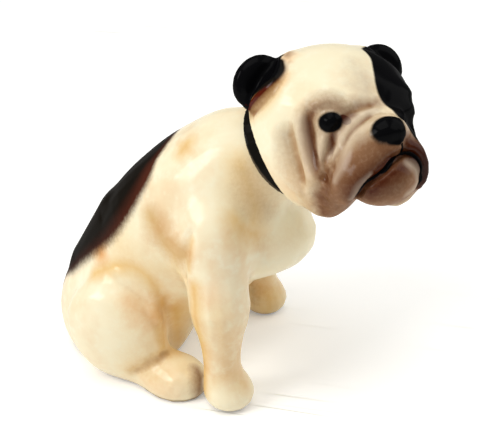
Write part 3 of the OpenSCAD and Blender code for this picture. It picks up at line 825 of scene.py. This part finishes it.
def glazedClay(name):
    # cream slip, underglaze colours, painted shade and painted highlights, and a clear glaze over them;
    # the foot that stands on the table is bare
    material, tree, shader, place = newMaterial(name)
    cloudy = noiseOf(tree, place, glaze["cloudScale"], 4, 0.55)
    mottled = noiseOf(tree, place, glaze["mottleScale"], 4, 0.6)
    broken = noiseOf(tree, place, glaze["grainScale"], 3, 0.65)
    colour = mixColour(tree, "MIX", rangeOf(tree, cloudy, 0.42, 0.72), glaze["cream"], glaze["warm"])
    colour = mixColour(tree, "MIX", rangeOf(tree, mottled, 0.45, 0.75, 0, 0.6), colour, glaze["pale"])
    dark = 0.0
    for layer, tint, low, high, ragged, blend, dulls in palette:
        cover = addNode(tree, "ShaderNodeAttribute", {"attribute_name": layer}).outputs["Fac"]
        grain = mathOf(tree, "MULTIPLY", mathOf(tree, "SUBTRACT", broken, 0.5), ragged)
        present = rangeOf(tree, cover, 0.0, 0.1)
        edge = mathOf(tree, "ADD", cover, mathOf(tree, "MULTIPLY", grain, present))
        present = rangeOf(tree, edge, low, high, kind="SMOOTHSTEP" if blend == "MIX" else "LINEAR")
        colour = mixColour(tree, "MULTIPLY" if blend == "MULTIPLY" else "MIX", present, colour, (*tint, 1))
        if dulls:
            dark = mathOf(tree, "MAXIMUM", dark, mathOf(tree, "MULTIPLY", present, dulls))
    height = addNode(tree, "ShaderNodeSeparateXYZ", Vector=place).outputs["Z"]
    bare = rangeOf(tree, height, glaze["bisqueTop"], glaze["bisqueTop"] * 0.4)
    # painted shade along the foot where it meets the table
    foot = rangeOf(tree, height, glaze["footTop"], glaze["footTop"] * 0.4)
    colour = mixColour(tree, "MULTIPLY", foot, colour, glaze["foot"])
    colour = mixColour(tree, "MIX", bare, colour, glaze["bisque"])
    clear = mathOf(tree, "SUBTRACT", glaze["clear"], mathOf(tree, "MULTIPLY", dark, glaze["clearLoss"]))
    glazed = mathOf(tree, "SUBTRACT", 1.0, bare)
    ripple = noiseOf(tree, place, glaze["rippleScale"], 2)
    bump = addNode(tree, "ShaderNodeBump", Height=ripple, Distance=glaze["rippleHeight"],
                   Strength=glaze["rippleStrength"])
    feed(tree, shader.inputs["Base Color"], colour)
    feed(tree, shader.inputs["Roughness"], rangeOf(tree, mottled, 0.3, 0.75, *glaze["roughness"]))
    feed(tree, shader.inputs["Coat Weight"], mathOf(tree, "MULTIPLY", glazed, clear))
    feed(tree, shader.inputs["Coat Roughness"], glaze["clearRoughness"])
    feed(tree, shader.inputs["Specular IOR Level"], 0)
    feed(tree, shader.inputs["Coat Normal"], bump.outputs[0])
    feed(tree, shader.inputs["Normal"], bump.outputs[0])
    return material


# the collar, a near-black band, browner along its edges: thinner glaze there, and a painted sheen on the
# rounded edges
band = {
    "voxel": 0.18,
    "sink": 0.5,
    "rounds": 6,
    "black": (0.008, 0.007, 0.006, 1),
    "wornAndSheen": (0.10, 0.075, 0.05, 1),
    "wornAndSheenFrom": 0.5,
    "wornAndSheenOver": 0.7,
    "streakScale": 500,
    "roughness": (0.2, 0.34),
    "clear": 0.08,
    "clearRoughness": 0.09,
}


def bandGlaze():
    material, tree, shader, place = newMaterial("collarGlaze")
    streak = noiseOf(tree, place, band["streakScale"], 4, 0.6)
    thinAndSheen = addNode(tree, "ShaderNodeAttribute", {"attribute_name": "thinAndSheen"}).outputs["Fac"]
    # browner edges: thinner glaze and a painted sheen
    wornAndSheen = rangeOf(tree, mathOf(tree, "ADD", thinAndSheen, mathOf(tree, "MULTIPLY", streak, 0.3)), 0.4, 1.1)
    feed(tree, shader.inputs["Base Color"], mixColour(tree, "MIX", wornAndSheen, band["black"], band["wornAndSheen"]))
    feed(tree, shader.inputs["Roughness"], rangeOf(tree, streak, 0.3, 0.7, *band["roughness"]))
    feed(tree, shader.inputs["Specular IOR Level"], 0)
    feed(tree, shader.inputs["Coat Weight"], band["clear"])
    feed(tree, shader.inputs["Coat Roughness"], band["clearRoughness"])
    return material


# the table: painted boards, with long faint grain lines under the white
boards = {
    "white": (0.97, 0.97, 0.96, 1),
    "line": (0.72, 0.72, 0.68, 1),
    "turn": -0.22,
    "stretch": (14, 0.35, 1),
    "grainScale": 60,
    "roughness": 0.8,
    "specular": 0.1,
    "glow": 0.23,
}


def whiteTable():
    material, tree, shader, place = newMaterial("whiteTable")
    along = addNode(tree, "ShaderNodeMapping", Vector=place, Rotation=(0, 0, boards["turn"]),
                    Scale=boards["stretch"])
    grain = noiseOf(tree, along.outputs[0], boards["grainScale"], 3, 0.6)
    colour = mixColour(tree, "MIX", rangeOf(tree, grain, 0.60, 0.74), boards["white"], boards["line"])
    feed(tree, shader.inputs["Base Color"], colour)
    feed(tree, shader.inputs["Roughness"], boards["roughness"])
    feed(tree, shader.inputs["Specular IOR Level"], boards["specular"])
    # the table stays white behind the figurine and keeps its shadow
    path = addNode(tree, "ShaderNodeLightPath")
    seen = mathOf(tree, "ADD", path.outputs["Is Camera Ray"], path.outputs["Is Glossy Ray"])
    seen = mathOf(tree, "MINIMUM", mathOf(tree, "ADD", seen, path.outputs["Is Transmission Ray"]), 1.0)
    feed(tree, shader.inputs["Emission Color"], colour)
    feed(tree, shader.inputs["Emission Strength"], mathOf(tree, "MULTIPLY", seen, boards["glow"]))
    return material


table.data.materials.append(whiteTable())
slots = {
    "lower_jaw": "muzzle_glaze",
    "ear_right": "ear_glaze",
    "ear_left": "ear_glaze",
    "collar": "collar_glaze",
}
finishes = {
    "coat_glaze": glazedClay("coatGlaze"),
    "muzzle_glaze": glazedClay("muzzleGlaze"),
    "ear_glaze": glazedClay("earGlaze"),
    "collar_glaze": bandGlaze(),
}


def dress(piece, name):
    slot = slots.get(name, "coat_glaze")
    piece.data.materials.clear()
    piece.data.materials.append(finishes[slot])
    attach(piece, "root")
    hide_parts(name)


def splitByNearest(clay, names, trees, spare, depth=0.8):
    # cuts the painted clay back into its castings and drops the spare stub; each piece keeps the normals of
    # the whole form, so no seam shows
    mesh = clay.obj.data
    fields = np.array([distanceTo(tree, clay.points) for tree in trees])
    label = fields.argmin(axis=0)
    way = (clay.points - neckJoint) @ neckWay
    label = np.where((label == 0) & (way * spare > 0), len(names), label)
    faceLabel = np.array([np.bincount(label[list(p.vertices)]).argmax() for p in mesh.polygons])
    for i, name in enumerate(names):
        bm = bmesh.new()
        bm.from_mesh(mesh)
        source = bm.verts.layers.int.new("source")
        for v in bm.verts:
            v[source] = v.index
        bm.faces.ensure_lookup_table()
        bmesh.ops.delete(bm, geom=[bm.faces[j] for j in np.nonzero(faceLabel != i)[0]], context="FACES")
        rim = bmesh.ops.extrude_edge_only(bm, edges=[e for e in bm.edges if e.is_boundary])["geom"]
        for v in rim:
            if isinstance(v, bmesh.types.BMVert):
                v.co -= Vector(clay.normals[v[source]]) * depth * mm
        bmesh.ops.holes_fill(bm, edges=[e for e in bm.edges if e.is_boundary], sides=0)
        bmesh.ops.triangulate(bm, faces=[f for f in bm.faces if len(f.verts) > 4])
        newMesh = bpy.data.meshes.new(name)
        bm.to_mesh(newMesh)
        bm.free()
        piece = bpy.data.objects.new(name + "Glazed", newMesh)
        bpy.context.collection.objects.link(piece)
        picked = np.empty(len(newMesh.vertices), int)
        newMesh.attributes["source"].data.foreach_get("value", picked)
        for layer, values in clay.paint.items():
            attribute = newMesh.attributes.new(layer, "FLOAT", "POINT")
            attribute.data.foreach_set("value", values[picked])
        newMesh.attributes.remove(newMesh.attributes["source"])
        newMesh.polygons.foreach_set("use_smooth", [True] * len(newMesh.polygons))
        newMesh.normals_split_custom_set_from_vertices(clay.normals[picked].tolist())
        dress(piece, name)
        print(name, len(newMesh.polygons), "faces")
    bpy.data.objects.remove(clay.obj)


splitByNearest(coatClay, ["body"] + limbNames, [torsoTree] + [limbTrees[n] for n in limbNames], 1)
headNames = ["head", "lower_jaw", "ear_right", "ear_left"]
splitByNearest(headClay, headNames, [skullTree] + [partTrees[n] for n in headNames[1:]], -1)

collar = copyOf("collar")
rootInto(collar, torsoTree, band["sink"])
applyModifier(collar, "REMESH", mode="VOXEL", voxel_size=band["voxel"] * mm)
smoothBy(collar, np.ones(len(collar.data.vertices)), band["rounds"])
collar.name = "collarGlazed"
bandPoints = getPoints(collar)
middle = bandPoints.mean(0)
spread = np.linalg.svd(bandPoints - middle, full_matrices=False)[2][2]
offset = np.abs((bandPoints - middle) @ spread)
# lighter along the band's edges: thinner glaze and a painted sheen
thinAndSheen = collar.data.attributes.new("thinAndSheen", "FLOAT", "POINT")
thinAndSheen.data.foreach_set("value", softStep((offset - band["wornAndSheenFrom"]) / band["wornAndSheenOver"]))
collar.data.polygons.foreach_set("use_smooth", [True] * len(collar.data.polygons))
dress(collar, "collar")
print("collar glazed")
